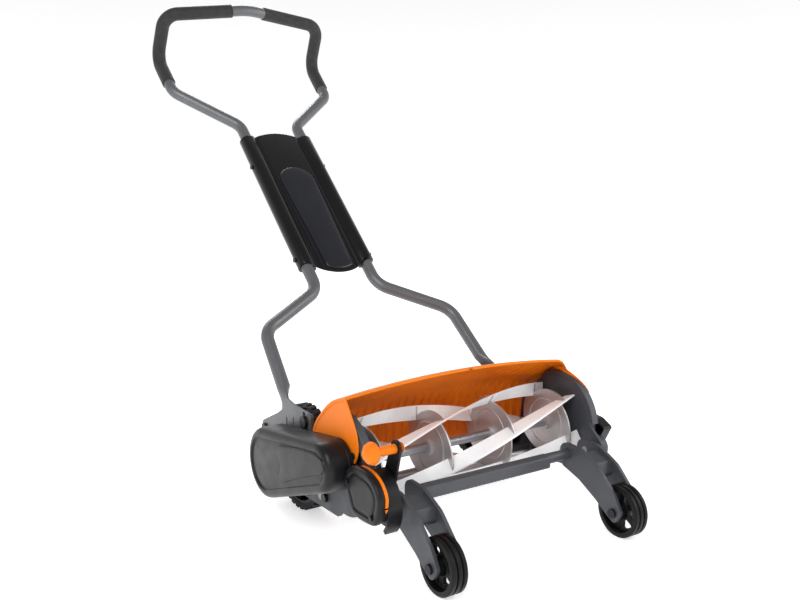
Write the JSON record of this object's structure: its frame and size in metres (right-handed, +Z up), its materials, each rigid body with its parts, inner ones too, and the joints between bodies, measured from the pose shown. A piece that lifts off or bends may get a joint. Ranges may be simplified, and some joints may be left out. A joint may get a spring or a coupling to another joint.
{
  "type": "reel mower",
  "caption": "Push reel mower: chain-driven five-blade reel between cast side plates, tilting front fork carriage with height lever, discharge chute and bent-tube handle.",
  "frame": {"origin": "on the ground, under the reel axis and midway between the side plates", "axes": "+X across the mower, -Y the way it travels, +Z up"},
  "size_m": [0.5717, 1.2224, 1.0002],
  "materials": {
    "casting": "satin dark grey coated casting",
    "steel": "bright rolled steel with a fine grain",
    "reel_steel": "satin hardened steel blade with ground edge",
    "tube_paint": "satin grey powder coat",
    "black_plastic": "black moulded plastic, slight sheen",
    "gloss_black": "black glossy moulded plastic",
    "orange_plastic": "orange moulded plastic",
    "grip_foam": "black textured grip rubber",
    "wheel_plastic": "black wheel plastic",
    "tread": "black cleated tread rubber",
    "fastener": "black oxide bolts",
    "bronze": "sintered bronze bush"
  },
  "bodies": {
    "deck": {"side_plate_left": "casting", "side_plate_right": "casting", "rear_tie_tube": "steel", "reel_bearings": "bronze", "axle_bushes": "bronze", "bed_knife": "steel", "bed_bar": "steel", "bed_bolts": "fastener", "bed_adjusters": "fastener", "chain_case_back": "black_plastic", "chain_cover": "black_plastic", "chain_cover_screws": "fastener", "drive_chain": "steel", "right_cover": "black_plastic", "height_quadrant": "black_plastic", "height_scale": "orange_plastic", "quadrant_cover": "black_plastic", "quadrant_screws": "fastener", "handle_pivot_bolts": "fastener", "handle_clamp_knobs": "fastener", "chute_pins": "fastener"},
    "reel": {"reel_shaft": "steel", "reel_sprocket": "steel", "disc_pins": "steel", "spider_disc_1": "steel", "spider_disc_2": "steel", "spider_disc_3": "steel", "spider_disc_4": "steel", "reel_blade_1": "reel_steel", "reel_blade_2": "reel_steel", "reel_blade_3": "reel_steel", "reel_blade_4": "reel_steel", "reel_blade_5": "reel_steel"},
    "drive_axle": {"rear_axle": "steel", "axle_sprocket": "steel", "rear_tyre_left": "tread", "rear_hub_left": "wheel_plastic", "rear_tyre_right": "tread", "rear_hub_right": "wheel_plastic"},
    "front_carriage": {"front_fork_left": "casting", "front_fork_right": "casting", "cross_bar": "casting", "pivot_pins": "steel", "front_axle_bolts": "fastener", "height_lever": "fastener"},
    "lever_knob": {"height_knob": "orange_plastic"},
    "front_wheel_left": {"front_wheel_left": "wheel_plastic"},
    "front_wheel_right": {"front_wheel_right": "wheel_plastic"},
    "chute": {"chute": "orange_plastic"},
    "handle": {"upper_handle": "tube_paint", "grip_left": "grip_foam", "grip_right": "grip_foam", "lower_tube_left": "tube_paint", "lower_tube_right": "tube_paint", "handle_bracket_left": "tube_paint", "handle_bracket_right": "tube_paint", "handle_panel": "gloss_black", "panel_tongue": "gloss_black", "panel_screws": "fastener"}
  },
  "joints": [
    {"name": "reel_spin", "type": "hinge", "parent": "deck", "child": "reel", "pos_m": [0, 0, 0.145], "axis": [1, 0, 0], "continuous": true},
    {"name": "axle_spin", "type": "hinge", "parent": "deck", "child": "drive_axle", "pos_m": [0, 0.198, 0.0967], "axis": [1, 0, 0], "continuous": true},
    {"name": "height_adjust", "type": "hinge", "parent": "deck", "child": "front_carriage", "pos_m": [0, -0.1, 0.117], "axis": [1, 0, 0], "range_deg": [-14, 22]},
    {"name": "knob_pull", "type": "slide", "parent": "front_carriage", "child": "lever_knob", "axis": [-1, 0, 0], "range_m": [0, 0.006], "stiffness_N_per_m": 400},
    {"name": "front_wheel_left_spin", "type": "hinge", "parent": "front_carriage", "child": "front_wheel_left", "pos_m": [-0.189, -0.2135, 0.045], "axis": [1, 0, 0], "continuous": true},
    {"name": "front_wheel_right_spin", "type": "hinge", "parent": "front_carriage", "child": "front_wheel_right", "pos_m": [0.189, -0.2135, 0.045], "axis": [1, 0, 0], "continuous": true},
    {"name": "chute_tilt", "type": "hinge", "parent": "deck", "child": "chute", "pos_m": [0, -0.052, 0.178], "axis": [1, 0, 0], "range_deg": [0, 25]},
    {"name": "handle_tilt", "type": "hinge", "parent": "deck", "child": "handle", "pos_m": [0, 0.3, 0.129], "axis": [1, 0, 0], "range_deg": [-4, 4]}
  ],
  "couplings": [
    {"joint": "axle_spin", "follows": "reel_spin", "ratio": 0.25}
  ]
}
